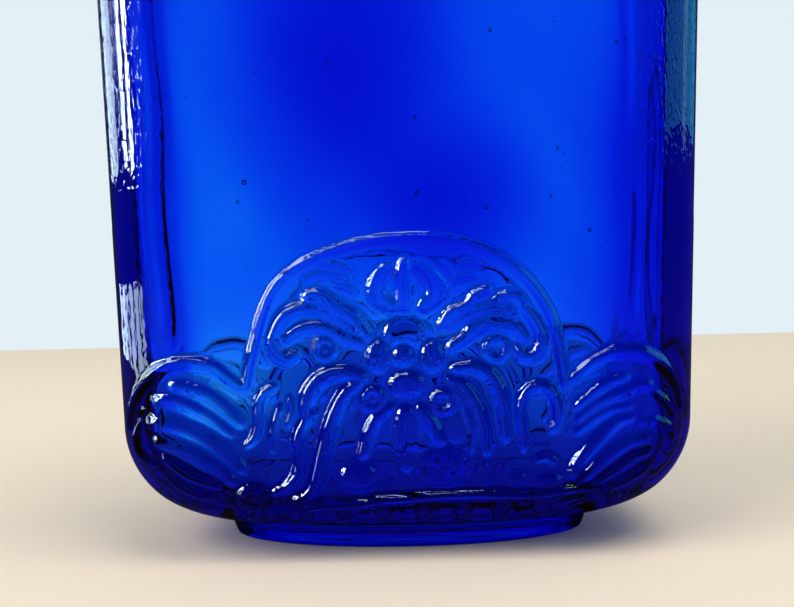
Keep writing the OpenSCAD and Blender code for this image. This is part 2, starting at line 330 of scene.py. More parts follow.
# %% Ropes of the arch and of the middle
ARCH = [
    (-25.0, 28.4), (-24.3, 32.0), (-23.3, 35.5), (-22.2, 39.3), (-20.3, 43.3), (-17.0, 46.4),
    (-13.0, 48.4), (-8.0, 50.0), (-3.0, 50.8), (2.0, 50.9), (7.0, 50.4), (11.2, 49.2),
    (15.0, 47.3), (18.4, 44.6), (21.0, 41.4), (22.7, 38.0), (23.6, 34.5), (24.2, 31.0),
    (24.7, 27.6),
]
MIDDLE_ROPES = [
    (3.0, 0.9, [(-1.4, 40.0), (-4.0, 41.6), (-4.2, 44.0), (-2.3, 46.6)]),
    (3.2, 1.1, [(0.1, 39.7), (0.1, 41.5), (0.0, 44.0), (0.0, 47.2)]),
    (3.0, 0.9, [(2.6, 40.0), (4.8, 41.8), (4.4, 44.2), (2.0, 46.8)]),
    (0.9, 0.6, [(6.6, 41.2), (6.3, 43.4), (4.8, 45.6), (2.6, 47.3)]),
    (3.6, 0.9, [(-0.2, 24.0), (-0.3, 20.0), (-0.2, 15.0)]),
    (1.0, 1.2, [(-0.3, 23.2), (-0.4, 19.0), (-0.3, 15.6)]),
    (2.2, 1.0, [(-2.4, 24.6), (-4.6, 23.1), (-6.0, 20.4), (-6.9, 17.6), (-7.7, 15.0)]),
    (2.2, 1.0, [(2.0, 24.5), (3.8, 22.0), (4.9, 19.2), (5.6, 16.4)]),
]
MIDDLE_BEADS = [
    (-0.2, 35.7, 3.4, 3.2, 1.1), (-4.3, 32.5, 2.1, 2.7, 1.3), (-0.3, 32.6, 1.85, 1.9, 1.3),
    (4.1, 32.3, 2.1, 2.6, 1.3), (0.1, 28.1, 3.0, 2.2, 1.3), (-7.8, 13.7, 2.9, 2.6, 1.1),
    (5.7, 14.8, 3.8, 3.3, 1.1),
]
RING_BEADS = [(-5.2, 25.9, 0.75, 0.75, 0.9), (-12.4, 33.9, 0.85, 0.85, 1.0)]
RINGS = [(-12.5, 34.0, 1.45), (14.1, 33.4, 1.55), (-5.3, 25.9, 1.45), (5.6, 25.2, 1.5)]

# %% Ropes of the left half
LEFT_ROPES = [
    (3.0, 1.2, [(-5.6, 35.4), (-8.0, 38.6), (-10.8, 40.2), (-13.0, 42.0), (-15.2, 42.2)]),
    (2.6, 1.2, [(-7.5, 36.4), (-12.0, 39.4), (-15.5, 40.3), (-18.4, 39.2), (-19.9, 37.0),
                (-20.5, 34.9), (-19.6, 33.0), (-18.0, 32.6), (-16.9, 33.4)]),
    (2.3, 1.2, [(-6.4, 34.5), (-9.2, 35.6), (-12.2, 37.1), (-15.0, 37.4), (-17.4, 36.5),
                (-18.7, 35.3)]),
    (2.8, 1.3, [(-6.4, 29.4), (-10.0, 30.2), (-12.8, 29.5), (-14.8, 27.6), (-15.7, 25.2),
                (-15.8, 23.6)]),
    (2.6, 1.3, [(-7.2, 28.7), (-9.6, 26.9), (-11.1, 24.2), (-12.2, 21.2), (-13.1, 18.0),
                (-13.9, 15.0), (-14.7, 12.5), (-16.0, 10.7), (-17.6, 10.1)]),
    (1.9, 1.2, [(-14.4, 24.0), (-16.2, 22.2), (-17.2, 19.8), (-16.9, 17.0), (-17.4, 14.4),
                (-18.8, 12.5), (-21.2, 11.4)]),
    (1.7, 1.2, [(-20.5, 28.2), (-22.4, 27.1), (-23.2, 24.6), (-23.3, 22.2), (-24.0, 20.1),
                (-25.3, 19.0)]),
    (1.3, 0.9, [(-19.8, 24.9), (-20.8, 22.2), (-21.3, 19.6), (-21.0, 17.9)]),
    (1.1, 0.7, [(-18.3, 26.6), (-18.0, 24.2), (-18.6, 21.8)]),
    (1.0, 0.6, [(-15.6, 44.6), (-13.2, 45.5), (-10.6, 45.3), (-8.6, 44.5)]),
    (0.9, 0.6, [(-12.6, 46.9), (-10.4, 46.9), (-8.4, 46.0)]),
    (0.9, 0.5, [(-11.2, 43.9), (-9.0, 43.4), (-7.4, 42.2)]),
]
LEFT_LOBE = [
    (2.2, 1.3, [(-25.2, 27.9), (-27.4, 29.4), (-30.3, 31.6), (-34.2, 32.3), (-37.9, 31.4),
                (-41.2, 29.0), (-43.8, 25.4), (-45.2, 21.5)]),
    (2.9, 1.2, [(-36.4, 28.7), (-34.0, 28.2), (-31.2, 26.9), (-28.6, 25.0), (-26.0, 22.4)]),
    (2.6, 1.2, [(-39.2, 26.2), (-36.6, 26.5), (-33.4, 25.2), (-30.6, 23.6), (-27.4, 20.8)]),
    (3.0, 1.2, [(-40.4, 22.7), (-37.6, 22.8), (-34.0, 21.6), (-30.8, 19.9), (-28.0, 17.5),
                (-25.8, 15.2)]),
    (2.8, 1.2, [(-39.4, 19.9), (-36.4, 19.2), (-33.0, 17.5), (-30.2, 15.8), (-27.4, 13.4)]),
    (2.3, 1.1, [(-38.2, 17.5), (-35.8, 15.8), (-33.6, 14.3), (-29.4, 12.7)]),
    (1.8, 1.0, [(-38.2, 14.8), (-36.2, 12.8), (-33.2, 11.5), (-30.6, 11.0)]),
    (1.6, 1.1, [(-42.6, 22.6), (-43.4, 20.2), (-43.0, 18.0), (-41.0, 16.5), (-38.8, 16.2)]),
]

# %% Ropes of the right half
RIGHT_ROPES = [
    (2.2, 1.1, [(5.6, 37.0), (6.7, 38.6), (8.0, 39.5), (9.6, 39.9)]),
    (2.0, 1.0, [(9.8, 40.4), (11.2, 41.8), (13.2, 42.5)]),
    (1.9, 1.0, [(13.6, 40.8), (15.4, 41.5), (17.4, 41.2), (18.6, 40.3)]),
    (3.2, 0.9, [(7.0, 37.2), (10.4, 39.0), (14.0, 39.6), (17.4, 38.8)]),
    (2.3, 1.2, [(17.6, 40.0), (19.4, 38.4), (20.6, 36.4), (21.2, 34.5), (20.6, 32.8), (19.5, 32.0),
                (18.2, 32.3), (17.6, 33.5)]),
    (2.7, 1.3, [(6.8, 33.6), (9.2, 35.2), (11.2, 36.8), (13.2, 37.3), (15.4, 37.0), (17.2, 36.3),
                (18.7, 34.6)]),
    (2.4, 1.2, [(7.2, 30.4), (10.4, 30.6), (12.8, 29.5), (14.2, 27.5), (14.9, 25.0), (15.1, 22.0),
                (15.4, 19.0)]),
    (2.2, 1.1, [(6.8, 28.8), (9.0, 27.5), (10.6, 25.3), (11.7, 22.5), (12.2, 19.5), (12.4, 17.0)]),
    (1.3, 0.9, [(7.0, 27.4), (8.6, 25.8), (9.4, 23.5), (10.1, 20.5), (9.8, 17.2)]),
    (1.8, 1.3, [(18.2, 17.4), (17.9, 20.5), (17.6, 23.6), (18.3, 26.2), (20.0, 27.4), (22.0, 26.9),
                (23.2, 25.0), (23.4, 22.5), (22.8, 20.4)]),
    (1.0, 0.8, [(12.0, 15.4), (12.1, 13.8), (12.0, 12.0)]),
    (1.4, 0.8, [(20.0, 15.6), (21.6, 16.2), (23.2, 15.2)]),
    (0.9, 0.6, [(8.4, 46.4), (10.0, 46.8), (11.8, 46.3)]),
    (0.9, 0.6, [(7.8, 44.2), (9.4, 44.8), (10.8, 44.8)]),
    (1.0, 0.5, [(5.6, 47.0), (6.8, 45.9), (7.8, 44.4)]),
]
RIGHT_LOBE = [
    (2.1, 1.2, [(25.4, 27.9), (27.1, 29.4), (28.8, 30.8), (30.4, 31.7), (32.2, 32.4), (34.2, 32.5),
                (36.2, 32.3), (38.2, 31.4), (40.0, 30.2), (41.6, 28.4), (43.0, 25.9), (43.8, 23.0)]),
    (1.9, 1.1, [(34.4, 28.5), (32.2, 28.1), (30.2, 27.0), (28.4, 25.6), (26.4, 24.0)]),
    (2.2, 1.1, [(38.0, 27.0), (36.2, 27.2), (34.0, 26.2), (30.8, 24.9), (28.2, 23.4), (26.6, 21.8)]),
    (1.8, 1.1, [(34.8, 23.8), (32.4, 23.7), (30.2, 22.8), (28.2, 21.5), (26.4, 20.0)]),
    (2.4, 1.2, [(35.2, 22.2), (33.0, 21.7), (31.2, 20.2), (29.6, 18.6), (28.0, 17.0), (26.4, 15.0),
                (25.6, 13.2)]),
    (2.4, 1.2, [(37.4, 18.8), (34.8, 18.4), (32.5, 17.1), (30.6, 15.6), (28.6, 13.8), (26.8, 12.4)]),
    (2.3, 1.1, [(37.6, 16.8), (35.4, 16.1), (33.6, 14.9), (31.6, 13.6), (29.6, 12.3)]),
    (2.0, 1.0, [(38.0, 14.6), (35.8, 13.2), (33.4, 12.0), (31.2, 11.2)]),
    (1.5, 1.1, [(38.4, 25.7), (40.2, 24.6), (41.4, 23.2), (42.4, 21.6)]),
    (1.6, 1.1, [(35.9, 21.4), (38.2, 21.5), (40.2, 20.8), (41.6, 19.8), (42.4, 18.4)]),
]
LOBE_BEADS = [(-35.0, 21.5, 10.5, 11.0, 0.5), (35.0, 21.5, 10.0, 11.0, 0.5),
              (-24.3, 10.8, 2.8, 2.4, 1.2), (22.0, 12.2, 2.3, 1.6, 1.0), (17.3, 12.8, 1.2, 1.2, 0.8)]

# %% The band over the foot, and the finished map
BAND = [
    (-27.0, 7.4), (-23.0, 8.1), (-20.0, 8.4), (-16.0, 9.0), (-12.5, 9.3), (-9.0, 9.3), (-4.6, 9.9),
    (0.0, 10.2), (5.0, 10.5), (10.0, 10.6), (15.0, 10.4), (20.0, 10.3), (24.0, 10.8), (28.0, 11.2),
    (31.0, 10.2), (33.0, 8.4),
]
ARCH_ROPE, BAND_ROPE = (1.6, 1.0), (1.3, 1.3)  # width and height
RING_BAR, RING_H = 0.5, 1.1  # half the width of a ring's bar, and its height
DOT_COUNT, DOT_PITCH, DOT_RISE = 8, 6.2, 0.07
DOT_START, DOT_SIZE = (-22.6, 6.7), (1.2, 1.1, 0.8)
DOTS = [(DOT_START[0] + DOT_PITCH * i, DOT_START[1] + DOT_RISE * i) for i in range(DOT_COUNT)]
WOBBLE, WOBBLE_MM = 0.035, 0.9  # how uneven the cutting is, and how wide a dent is, in mm
CUT_H, CUT_REACH, CUT_GAIN = 0.1, 1.6, 1.6  # what counts as drawn, and how far the dents spread
INSIDE_MELT, INSIDE_PART = 1.0, 0.1  # the hollow's wall follows the relief softly, and a little


def hand_cut(height_map):
    """Small dents that the mould cutter's tools left in and around the drawing."""
    dents = soften(np.random.default_rng(3).standard_normal(GRID_S.shape), WOBBLE_MM)
    near = np.clip(soften((height_map > CUT_H) * 1.0, CUT_REACH) * CUT_GAIN, 0, 1)
    return WOBBLE * near * dents / dents.std()


def draw_relief():
    """Lays every drawing on one map."""
    made = np.zeros(GRID_S.shape)
    for bead in LOBE_BEADS:
        raise_bead(made, *bead, free=False)
    for width, height, points in MIDDLE_ROPES + LEFT_ROPES + LEFT_LOBE + RIGHT_ROPES + RIGHT_LOBE:
        raise_rope(made, width, height, points)
    for bead in MIDDLE_BEADS:
        raise_bead(made, *bead)
    for s, z, radius in RINGS:
        raise_ring(made, s, z, radius, RING_BAR, RING_H)
    raise_rope(made, *ARCH_ROPE, ARCH, thin=0.9)
    raise_rope(made, *BAND_ROPE, BAND, thin=0.7)
    for bead in RING_BEADS + [(*dot, *DOT_SIZE) for dot in DOTS]:
        raise_bead(made, *bead, free=False)
    return np.clip(soften(made, MELT) + hand_cut(made), 0, RELIEF_H)


RELIEF = draw_relief()
RELIEF_INSIDE = soften(RELIEF, INSIDE_MELT) * INSIDE_PART
print("relief stands out by up to", round(RELIEF.max(), 2), "mm")


INSIDE_MAP = 1.001  # keeps the point after the one that is read inside the map


def sample(height_map, s, z):
    """Reads a map between its points."""
    c = np.clip((s + MAP_HALF) / MAP_STEP, 0, len(map_s) - INSIDE_MAP)
    r = np.clip(z / MAP_STEP, 0, len(map_z) - INSIDE_MAP)
    c0, r0 = c.astype(int), r.astype(int)
    fc, fr = c - c0, r - r0
    low = height_map[r0, c0] * (1 - fc) + height_map[r0, c0 + 1] * fc
    high = height_map[r0 + 1, c0] * (1 - fc) + height_map[r0 + 1, c0 + 1] * fc
    return np.where(z > MAP_TOP - 1, 0, low * (1 - fr) + high * fr)


# %% [markdown]
# ## The skin of the glass
# One closed skin runs from the middle of the underside up the outside, over the collar, down the
# bore and round the hollow to its floor. So light enters and leaves the glass wall as it does in
# the real bottle. Rings are joined by quads, and a strip of triangles steps between fine rings
# and coarse ones. No primitive can be shaped into this by hand, because the relief is a height
# that belongs to each point, so this one piece is written as rings.

# %% Rows of the outside
def round_section(r):
    return r, r, r, r


def foot_section(inset):
    a, b = FOOT_W / 2 - inset, FOOT_D / 2 - inset
    return a, b, a - MIN_FLAT, b - MIN_FLAT


def scaled(section, k):
    return tuple(v * k for v in section)


FINE_TOP = 53.0  # above the relief
FINE_STEP = 0.47
TOE_ANGLE, TOE_STEP = 30, 2.5  # degrees of the heel's curve, below which it faces the table
PUSH_POWER = 8  # the push-up is flat in the middle and steep at its edge
PUSH_STEPS = (0.1, 0.3, 0.5, 0.7, 0.8, 0.88, 0.94, 0.98, 1.0)
RING_ARC, ROLL_ARC = (-80, 60), (-60, 88)  # degrees of the collar's two rounds that show
MOUTH_FLAT = (NECK_R - 0.5, BORE_R + MOUTH_FLARE + 0.6)  # the radii between which it is flat


def underside_rows():
    for k in PUSH_STEPS:
        yield scaled(foot_section(RING_W), k), PUSH_UP * math.sqrt(1 - k ** PUSH_POWER), "coarse"
    yield foot_section((RING_W + FOOT_EDGE) / 2), 0, "coarse"
    for t in np.linspace(0, math.pi / 2, 6):
        yield foot_section(FOOT_EDGE * (1 - math.sin(t))), FOOT_EDGE * (1 - math.cos(t)), "coarse"
    for z in np.linspace(FOOT_EDGE, FOOT_H, 6)[1:-1]:
        yield foot_section(0), z, "coarse"


def body_rows():
    toe_z = FOOT_H + HEEL_H * (1 - math.cos(math.radians(TOE_ANGLE)))
    for t in np.radians(np.arange(2, TOE_ANGLE, TOE_STEP)):
        z = FOOT_H + HEEL_H * (1 - math.cos(t))
        yield outer_section(z), z, "fine"
    for z in np.arange(toe_z, FINE_TOP, FINE_STEP):
        yield outer_section(z), z, "fine"
    for z in np.linspace(FINE_TOP + 1, SHOULDER_Z, 30):
        yield outer_section(z), z, "coarse"
    for t in np.linspace(0, math.pi / 2, 24)[1:]:
        z = SHOULDER_Z + SHOULDER_H * math.sin(t)
        yield outer_section(z), z, "coarse"


def neck_rows():
    for t in np.linspace(0, math.pi / 2, 7)[1:]:
        yield (round_section(ROOT_R - NECK_ROOT * math.sin(t)),
               NECK_Z + NECK_ROOT * (1 - math.cos(t)), "coarse")
    ring_z = TOP_Z - 2 * ROLL_R + RING_OVERLAP - RING_R
    for z in np.linspace(NECK_Z + NECK_ROOT + 2, ring_z - RING_R - 1, 4):
        yield round_section(NECK_R), z, "coarse"
    for t in np.radians(np.linspace(*RING_ARC, 9)):
        yield round_section(NECK_R + RING_R * math.cos(t)), ring_z + RING_R * math.sin(t), "coarse"
    for t in np.radians(np.linspace(*ROLL_ARC, 13)):
        yield (round_section(NECK_R + ROLL_R * math.cos(t)),
               TOP_Z - ROLL_R + ROLL_R * math.sin(t), "coarse")
    for r in np.linspace(*MOUTH_FLAT, 4):
        yield round_section(r), TOP_Z, "coarse"
    for t in np.linspace(0, math.pi / 2, 5):
        yield (round_section(BORE_R + MOUTH_FLARE * (1 - math.sin(t))),
               TOP_Z - MOUTH_FLARE * (1 - math.cos(t)), "coarse")


# %% Rows of the hollow, from the mouth down to its floor
ROOF_H = SHOULDER_H - SHOULDER_WALL
INNER_R = 5.0     # the hollow's corners, as tight as the photograph shows them
SEEN_SIDE = 6.4   # and its narrow walls
HOLLOW_SHIFT = -0.4  # the right side is a little thicker than the left
BORE_EDGE = 1.2      # the round where the bore opens into the hollow
ROOF_R = BORE_R + BORE_EDGE


def hollow_rows():
    bore_end = SHOULDER_Z + ROOF_H
    for z in np.linspace(TOP_Z - 3, bore_end + 2, 6):
        yield round_section(BORE_R), z, "hollow"
    for t in np.linspace(0, math.pi / 2, 4)[1:]:
        yield (round_section(BORE_R + BORE_EDGE * (1 - math.cos(t))),
               bore_end + BORE_EDGE - BORE_EDGE * math.sin(t), "hollow")
    for t in np.linspace(math.pi / 2, 0, 18)[1:]:
        k = math.cos(t)
        a, b = mix(ROOF_R, BODY_W / 2 - SEEN_SIDE, k), mix(ROOF_R, BODY_D / 2 - PANEL_WALL, k)
        corner = mix(ROOF_R - MIN_FLAT, INNER_R, k)
        yield (a, b, corner, corner), SHOULDER_Z + ROOF_H * math.sin(t), "hollow"
    for z in np.linspace(SHOULDER_Z, HEEL_Z, 42)[1:-1]:
        a = mix(HEEL_W, BODY_W, (z - HEEL_Z) / (SHOULDER_Z - HEEL_Z)) / 2 - SEEN_SIDE
        yield (a, BODY_D / 2 - PANEL_WALL, INNER_R, INNER_R), z, "hollow"
    floor_a, floor_b = FOOT_W / 2 - SIDE_WALL / 2, FOOT_D / 2 - PANEL_WALL / 2
    for t in np.linspace(math.pi / 2, 0, 16):
        k = math.sin(t)
        a, b = mix(floor_a, HEEL_W / 2 - SEEN_SIDE, k), mix(floor_b, BODY_D / 2 - PANEL_WALL, k)
        yield ((a, b, mix(floor_a - MIN_FLAT, INNER_R, k), mix(floor_b - MIN_FLAT, INNER_R, k)),
               BASE_T + (HEEL_Z - BASE_T) * (1 - math.cos(t)), "hollow")
    for k in np.linspace(0.88, 0.12, 8):
        yield scaled((floor_a, floor_b, floor_a - MIN_FLAT, floor_b - MIN_FLAT), k), BASE_T, "hollow"


OUTSIDE_ROWS = list(underside_rows()) + list(body_rows()) + list(neck_rows())
INSIDE_ROWS = list(hollow_rows())
print("rows outside:", len(OUTSIDE_ROWS), "inside:", len(INSIDE_ROWS))


# %% Push out the relief, and vary the wall
def place_row(row):
    """The points of one row, and their distance round the face that they belong to."""
    section, z, grade = row
    shares = SHARES if grade == "fine" else COARSE_SHARES
    if grade == "hollow":
        shares = mix(HALVED, CROWDED, max(0.0, min(1.0, (SHOULDER_Z + ROOF_H - z) / ROOF_H)))
    points, girth = ring(section, z, shares)
    return points, ((shares + 0.25) % 0.5 - 0.25) * girth


def outward_normals(rows):
    """Normals of a run of rings that all have as many points."""
    grid = np.array(rows)
    along = np.roll(grid, -1, axis=1) - np.roll(grid, 1, axis=1)
    normal = np.cross(along, np.gradient(grid, axis=0))
    return normal / np.maximum(np.linalg.norm(normal, axis=2, keepdims=True), 1e-9)


def bump(x, z, at_x, at_z, reach_x, reach_z):
    return np.exp(-((x - at_x) / reach_x) ** 2 - ((z - at_z) / reach_z) ** 2)


# Lumps and hollows of the wall: height, middle across and up, reach across and up, all in mm
WALL_LUMPS = [
    (3.0, -8, 82, 16, 26), (2.2, 8, 57, 12, 12), (-0.7, -28, 55, 9, 14), (1.3, 38, 56, 7, 32),
    (-0.8, -4, 38, 14, 7), (-1.6, -33, 22, 10, 12), (-0.2, 30, 19, 13, 12), (1.7, 4, 21, 16, 9),
]
THIN_WALL = -0.5
LONG_WAVE, SHORT_WAVE, RIPPLE = 0.18, 0.08, 0.12
RIPPLED = (-17, 58, 9, 16)  # the place that the ripple keeps to, as for a lump


def extra_wall(x, z):
    """How much thicker than PANEL_WALL a panel is. Blown glass is thick where it cooled first."""
    wall = THIN_WALL + sum(h * bump(x, z, *place) for h, *place in WALL_LUMPS)
    # x and z are divided by the length of a wave in mm, over two pi
    waves = LONG_WAVE * np.sin(x / 6.3 + 0.8 * np.sin(z / 11)) * np.cos(z / 9.1 + 0.4) \
        + SHORT_WAVE * np.sin(x / 3.1 + z / 4.7 + 1.3) \
        + RIPPLE * np.sin(x / 1.7 - z / 3.1 + 1.5 * np.sin(z / 6.1)) * bump(x, z, *RIPPLED)
    return wall + waves


# Upright folds inside the front, beside the corners: side, distance in from the outside, height,
# reach across, and the heights above the table between which each one shows, all in mm
FOLDS = [(-1, 10.0, 1.25, 1.5, 31, 122), (1, 10.6, 0.8, 0.9, 34, 62), (1, 8.2, 0.7, 0.8, 34, 76),
         (1, 12.6, 0.15, 0.8, 66, 122)]
FOLD_FADE = 6.0               # how far from its ends a fold is full
WANDER, WANDER_MM = 0.3, 5.3  # how far a fold strays from a straight line, and how soon


def folded_wall(x, z):
    """The folds that the glass made where the panel met the corner of the mould."""
    wall = np.zeros_like(x)
    for side, inset, height, reach, low, high in FOLDS:
        shown = min(1, max(0, (z - low) / FOLD_FADE)) * min(1, max(0, (high - z) / FOLD_FADE))
        wander = WANDER * math.sin(z / WANDER_MM + inset)
        wall += shown * height * np.exp(-((x - side * (half_w(z) - inset + wander)) / reach) ** 2)
    return wall


FLOOR_FADE, ROOF_FADE = 12.0, 24.0  # the wall is even at the hollow's floor and in its roof
FOLD_POWER = 3  # keeps the folds to the front


def skin_rows():
    outside = [place_row(row) for row in OUTSIDE_ROWS]
    fine = [i for i, row in enumerate(OUTSIDE_ROWS) if row[2] == "fine"]
    normals = outward_normals([outside[i][0] for i in fine])
    skins = []
    for i, (points, s) in enumerate(outside):
        if i in fine:
            points = points + normals[i - fine[0]] * sample(RELIEF, s, points[:, 2])[:, None]
        skins.append(points)
    for row in INSIDE_ROWS:
        points, s = place_row(row)
        x, y, z = points.T
        level = z[0]
        inward = np.zeros_like(points)
        fade = min(1, max(0, (level - BASE_T) / FLOOR_FADE)) \
            * min(1, max(0, (SHOULDER_Z + ROOF_FADE / 2 - level) / ROOF_FADE))
        depth = np.clip(np.abs(y) / (BODY_D / 2 - PANEL_WALL), 0, 1)
        inward[:, 1] = -np.sign(y) * depth * extra_wall(x, z) * fade
        inward[:, 1] += np.where(y < 0, folded_wall(x, level), 0) * depth ** FOLD_POWER
        inward[:, 0] = HOLLOW_SHIFT * fade
        if BASE_T + 1 < level < MAP_TOP:
            inward[:, 1] += np.sign(y) * depth * sample(RELIEF_INSIDE, s, z)
        skins.append(points + inward)
    return skins


def join_rings(skins):
    """Faces between neighbouring rings, and a fan over each end."""
    starts = np.concatenate([[0], np.cumsum([len(r) for r in skins])])
    faces = []
    for k in range(len(skins) - 1):
        n, m = len(skins[k]), len(skins[k + 1])
        a, b = int(starts[k]), int(starts[k + 1])
        if n == m:
            faces += [(a + i, a + (i + 1) % n, b + (i + 1) % n, b + i) for i in range(n)]
            continue
        many, few, step = max(n, m), min(n, m), max(n, m) // min(n, m)
        wide, narrow = (b, a) if m > n else (a, b)
        for j in range(few):
            near = [wide + (j * step + i) % many for i in range(step + 1)]
            ends = [narrow + j, narrow + (j + 1) % few]
            fan = [(near[i], near[i + 1], ends[i * 2 >= step]) for i in range(step)]
            turn = (step + 1) // 2
            fan.append((ends[0], near[turn], ends[1]))
            faces += [f[::-1] for f in fan] if m > n else fan
    top, bottom = int(starts[-1]), int(starts[-2])
    n, m = len(skins[0]), len(skins[-1])
    faces += [(top, (i + 1) % n, i) for i in range(n)]
    faces += [(top + 1, bottom + i, bottom + (i + 1) % m) for i in range(m)]
    return faces


SKINS = skin_rows()
poles = [[0, 0, SKINS[0][0][2]], [0, 0, SKINS[-1][0][2]]]
glass_points = np.concatenate(SKINS + [np.array(poles)])
glass_faces = join_rings(SKINS)
print("skin:", len(glass_points), "points,", len(glass_faces), "faces")

# %% [markdown]
# ### Seeds
# Small bubbles, which glass makers call seeds, stay in glass that was not melted long enough.
# Each is a tiny ball whose faces look inwards, because the glass lies outside it.

# %% Seeds in the walls
SEED_COUNT = 80
SEED_ACROSS, SEED_LOW, SEED_HIGH = 38, 24, 128  # where they lie, in mm
SEED_CROWD = 60            # every third one lies lower than this
SEED_R, SEED_MORE = 0.13, 0.32  # the smallest radius, and how much the largest adds
SEED_STRETCH = 0.5         # how much taller than wide one can be
SEED_DEPTH = (0.9, 1.7)    # how deep in the wall
SHOULDER_CLEAR = 22        # in the shoulders they keep this near to the middle
GOLDEN = (1 + 5 ** 0.5) / 2


def seed_ball():
    """An icosahedron, cut once more so that it looks round."""
    v = [(a, b * GOLDEN, 0) for a in (-1, 1) for b in (-1, 1)]
    v = v + [(0, x, y) for x, y, _ in v] + [(y, 0, x) for x, y, _ in v]
    v = [Vector(p).normalized() for p in v]
    edge = min((p - v[0]).length for p in v[1:]) * 1.1  # a little more than its true length

    def near(i, j):
        return (v[i] - v[j]).length < edge

    faces = []
    for i in range(12):
        for j in range(i + 1, 12):
            for k in range(j + 1, 12):
                if near(i, j) and near(j, k) and near(i, k):
                    facing_in = (v[j] - v[i]).cross(v[k] - v[i]).dot(v[i]) < 0
                    faces.append((i, j, k) if facing_in else (i, k, j))
    cut, middles = [], {}
    for i, j, k in faces:
        mids = []
        for p, q in ((i, j), (j, k), (k, i)):
            key = (min(p, q), max(p, q))
            if key not in middles:
                middles[key] = len(v)
                v.append((v[p] + v[q]).normalized())
            mids.append(middles[key])
        a, b, c = mids
        cut += [(i, a, c), (a, j, b), (c, b, k), (a, b, c)]
    return np.array([list(p) for p in v]), cut


def seeds(first_point):
    """Scatters the seeds through both panels. Most are small and a few are large."""
    ball, ball_faces = seed_ball()
    random = np.random.default_rng(7)
    points, faces = [], []
    for i in range(SEED_COUNT):
        x = random.uniform(-SEED_ACROSS, SEED_ACROSS)
        z = random.uniform(SEED_LOW, SEED_HIGH if i % 3 else SEED_CROWD)
        radius = SEED_R + SEED_MORE * random.random() ** 4
        side = 1 if i % 2 else -1
        y = side * (BODY_D / 2 - random.uniform(*SEED_DEPTH))
        if z > SHOULDER_Z and abs(x) > SHOULDER_CLEAR:
            continue
        stretch = np.array([1, 1, 1 + SEED_STRETCH * random.random()])
        faces += [tuple(first_point + len(points) * len(ball) + v for v in f) for f in ball_faces]
        points.append(ball * radius * stretch + [x, y, z])
    return np.concatenate(points), faces


seed_points, seed_faces = seeds(len(glass_points))


def mesh_piece(name, points, faces):
    """A piece with its place in its mesh, shaded smooth."""
    mesh = bpy.data.meshes.new(name)
    mesh.from_pydata([tuple(p) for p in points * MM], [], faces)
    mesh.update()
    mesh.shade_smooth()
    piece = bpy.data.objects.new(name, mesh)
    bpy.context.scene.collection.objects.link(piece)
    return piece


blown_glass = mesh_piece(
    "blown_glass", np.concatenate([glass_points, seed_points]), glass_faces + seed_faces)
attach(blown_glass, "flask")
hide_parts("bottle", "lip_collar")
print("blown glass:", sum(len(p.vertices) - 2 for p in blown_glass.data.polygons), "triangles")

# %% [markdown]
# ## Shell cork
# A shell cork is a tube of cork that is pushed into the neck, with a rim over the mouth. It is
# turned, so it is made as on a lathe: a circle is extruded from ring to ring along its profile,
# and the last ring is bridged to the first. Cork has pores that the knife opened, so the skin is
# divided and pressed in by a cloudy texture. The pores only go inwards, so the cork still fits.

# %% Lathe helper
def select_only(piece):
    bpy.ops.object.select_all(action="DESELECT")
    piece.select_set(True)
    bpy.context.view_layer.objects.active = piece


def select_open_edges(piece):
    """Goes into edit mode with the edges selected that only one face uses."""
    select_only(piece)
    bpy.ops.object.mode_set(mode="EDIT")
    bpy.ops.mesh.select_all(action="DESELECT")
    bpy.ops.mesh.select_non_manifold(extend=False, use_wire=False, use_multi_face=False)


def turned(name, profile, sides):
    """Extrudes a circle from ring to ring of a profile of (radius, height) points in mm."""
    bpy.ops.object.select_all(action="DESELECT")
    radius, height = profile[0]
    bpy.ops.mesh.primitive_circle_add(
        vertices=sides, radius=radius * MM, location=(0, 0, height * MM))
    piece = bpy.context.object
    piece.name = piece.data.name = name
    bpy.ops.object.transform_apply(location=True)
    bpy.ops.object.mode_set(mode="EDIT")
    bpy.ops.mesh.select_all(action="SELECT")
    for next_radius, next_height in profile[1:]:
        bpy.ops.mesh.extrude_region_move(
            TRANSFORM_OT_translate={"value": (0, 0, (next_height - height) * MM)})
        k = next_radius / radius
        bpy.ops.transform.resize(value=(k, k, 1), center_override=(0, 0, next_height * MM))
        radius, height = next_radius, next_height
    bpy.ops.object.mode_set(mode="OBJECT")
    return piece


def arc(radius, height, r, start, stop, steps):
    """Profile points on a round, with its middle at a radius and a height; angles in degrees."""
    return [(radius + r * math.cos(math.radians(a)), height + r * math.sin(math.radians(a)))
            for a in np.linspace(start, stop, steps)]


MERGE_MM, SMOOTH_ANGLE = 0.002, 40


def finish_turned(piece):
    """Merges doubled rings, turns the faces outwards and shades them."""
    select_only(piece)
    bpy.ops.object.mode_set(mode="EDIT")
    bpy.ops.mesh.select_all(action="SELECT")
    bpy.ops.mesh.remove_doubles(threshold=MERGE_MM * MM)
    bpy.ops.mesh.normals_make_consistent(inside=False)
    bpy.ops.object.mode_set(mode="OBJECT")
    bpy.ops.object.shade_smooth_by_angle(angle=math.radians(SMOOTH_ANGLE))


# %% Shell cork
SLEEVE_L, SLEEVE_WALL, RIM_W, RIM_T = 22.0, 2.5, 2.5, 2.0
FIT, SEAT_GAP = 0.05, 0.3
CORK_Z = TOP_Z + SEAT_GAP
CORK_R = BORE_R - FIT
PEG_R = CORK_R - SLEEVE_WALL - FIT
HOLE_R = PEG_R + FIT
CORK_CHAMFER = SLEEVE_WALL / 3
RIM_R = BORE_R + RIM_W
RIM_EDGE = 0.4
CORK_SIDES = 144
CORK_STEP = 0.4  # from one ring of points to the next
PORE_REACH, PORE_DEPTH = 1.3, 0.3  # how far apart and how deep its pores are, in mm


